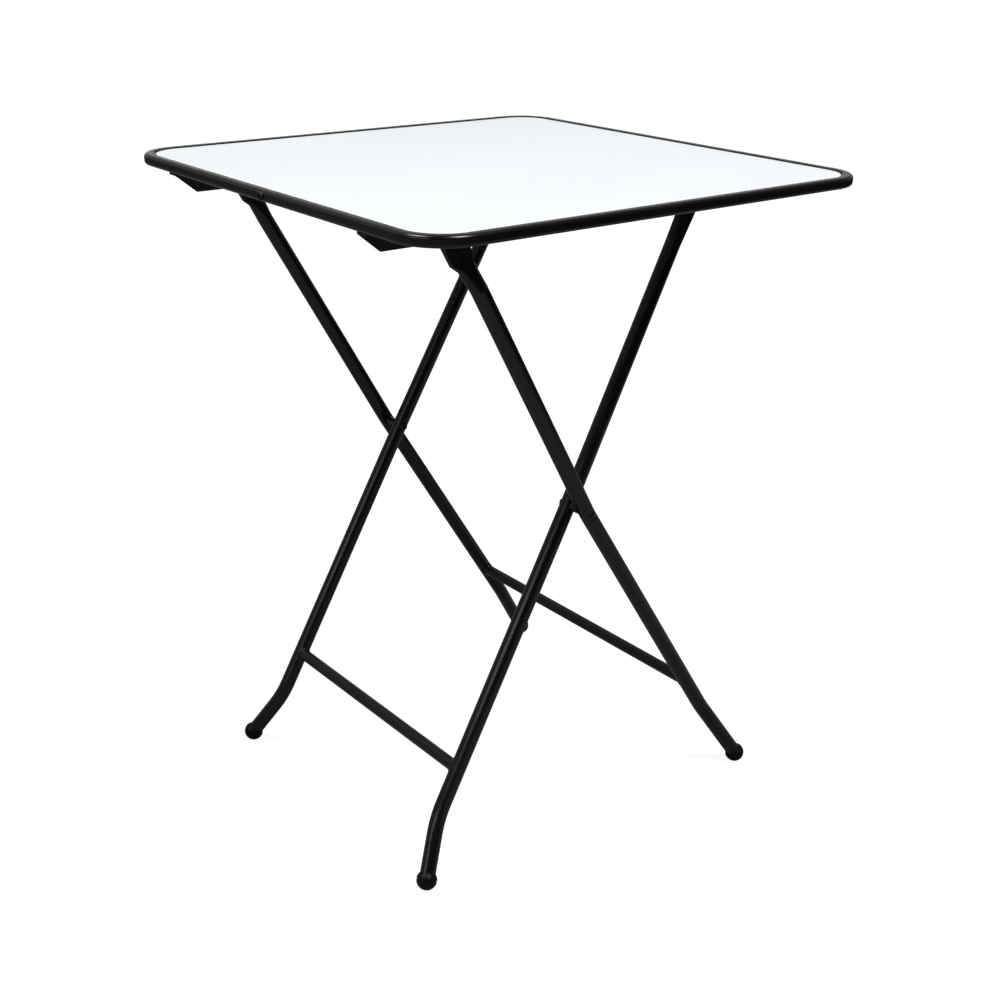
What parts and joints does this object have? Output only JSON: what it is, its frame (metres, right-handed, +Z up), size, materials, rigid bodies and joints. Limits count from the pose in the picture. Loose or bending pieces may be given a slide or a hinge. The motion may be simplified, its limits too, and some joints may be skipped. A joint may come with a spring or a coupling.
{
  "type": "folding card table",
  "caption": "Small square folding table: white panel in a rounded black steel rim on crossed black tube legs with flared, domed feet.",
  "frame": {"origin": "on the floor under the centre of the square top", "axes": "+X runs along the crossbars to the sitter's right, +Y from the front edge with the rim's seam to the back edge, +Z up"},
  "size_m": [0.55, 0.5517, 0.704],
  "materials": {
    "panel_white": "white laminate on fibreboard, satin",
    "rim_black": "black powder coat, satin",
    "frame_black": "black powder coat, semi-gloss",
    "rail_black": "black powder coat, satin",
    "foot_black": "moulded black, slightly glossy",
    "fastener_black": "black zinc, semi-gloss",
    "screw_steel": "zinc plated",
    "washer_nylon": "black nylon"
  },
  "bodies": {
    "outer_frame": {"outer_leg_right": "frame_black", "outer_leg_left": "frame_black", "outer_crossbar": "frame_black", "outer_foot_right": "foot_black", "outer_foot_left": "foot_black", "hinge_bolt_right": "fastener_black", "hinge_bolt_left": "fastener_black", "hinge_sleeve_right": "frame_black", "hinge_sleeve_left": "frame_black", "hinge_washers": "washer_nylon", "hinge_nuts": "screw_steel", "crossing_rivet_right": "fastener_black", "crossing_rivet_left": "fastener_black", "crossing_spacer_right": "frame_black", "crossing_spacer_left": "frame_black", "crossing_washers": "washer_nylon"},
    "inner_frame": {"inner_leg_right": "frame_black", "inner_leg_left": "frame_black", "inner_crossbar": "frame_black", "top_rod": "frame_black", "inner_foot_right": "foot_black", "inner_foot_left": "foot_black"},
    "table_top": {"top_panel": "panel_white", "rim_hoop": "rim_black", "rim_joint_plug": "screw_steel", "rim_joint_screw": "fastener_black", "rail_right": "rail_black", "rail_left": "rail_black", "panel_screws": "screw_steel"}
  },
  "joints": [
    {"name": "top_hinge", "type": "hinge", "parent": "outer_frame", "child": "table_top", "pos_m": [0, -0.1872, 0.678], "axis": [1, 0, 0], "range_deg": [0, 118]},
    {"name": "leg_crossing", "type": "hinge", "parent": "outer_frame", "child": "inner_frame", "pos_m": [0, -0.0134, 0.3743], "axis": [1, 0, 0], "range_deg": [0, 55.9]}
  ],
  "couplings": [
    {"joint": "leg_crossing", "follows": "top_hinge", "ratio": 0.473}
  ]
}
